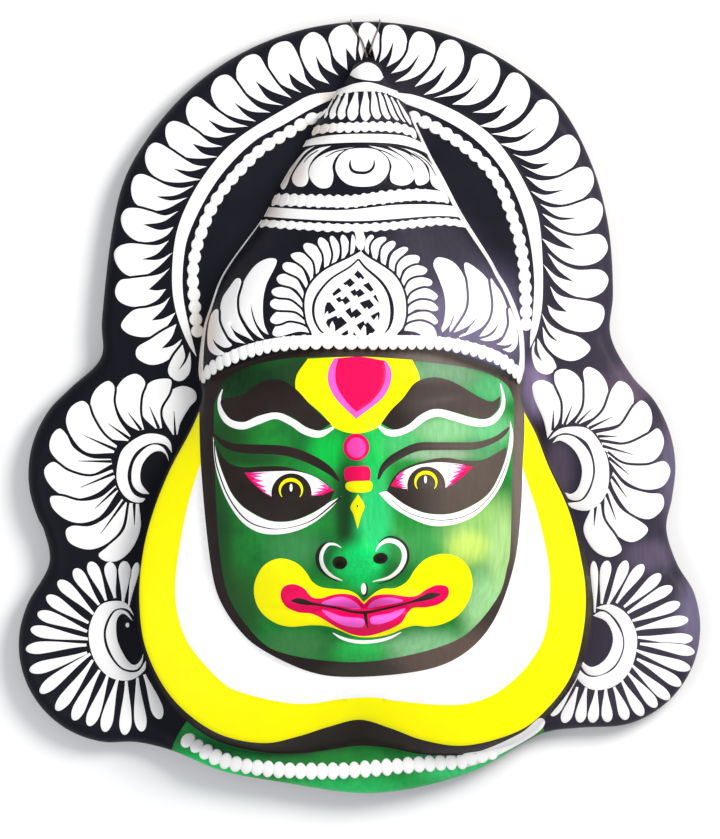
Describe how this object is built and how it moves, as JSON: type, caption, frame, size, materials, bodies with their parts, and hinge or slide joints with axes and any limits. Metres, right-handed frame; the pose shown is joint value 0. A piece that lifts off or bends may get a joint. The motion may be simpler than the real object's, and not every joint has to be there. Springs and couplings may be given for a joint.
{
  "type": "chhau mask",
  "caption": "Painted papier-mache dance mask: green face in a wide white and yellow collar, tall pointed crown, dark scalloped backboard, wire hanging loop.",
  "frame": {"origin": "centre of the bounding box at the plane of the back rim, on which the mask lies", "axes": "+Z out of the face, +Y to the crown's tip, +X to the right of someone who looks at the face"},
  "size_m": [0.4092, 0.4648, 0.1152],
  "materials": {
    "painted_paper": "enamel paint under varnish, glossy",
    "wire": "dark annealed binding wire"
  },
  "bodies": {
    "root": {"mask_shell": "painted_paper", "hanging_wire": "wire"}
  },
  "joints": []
}
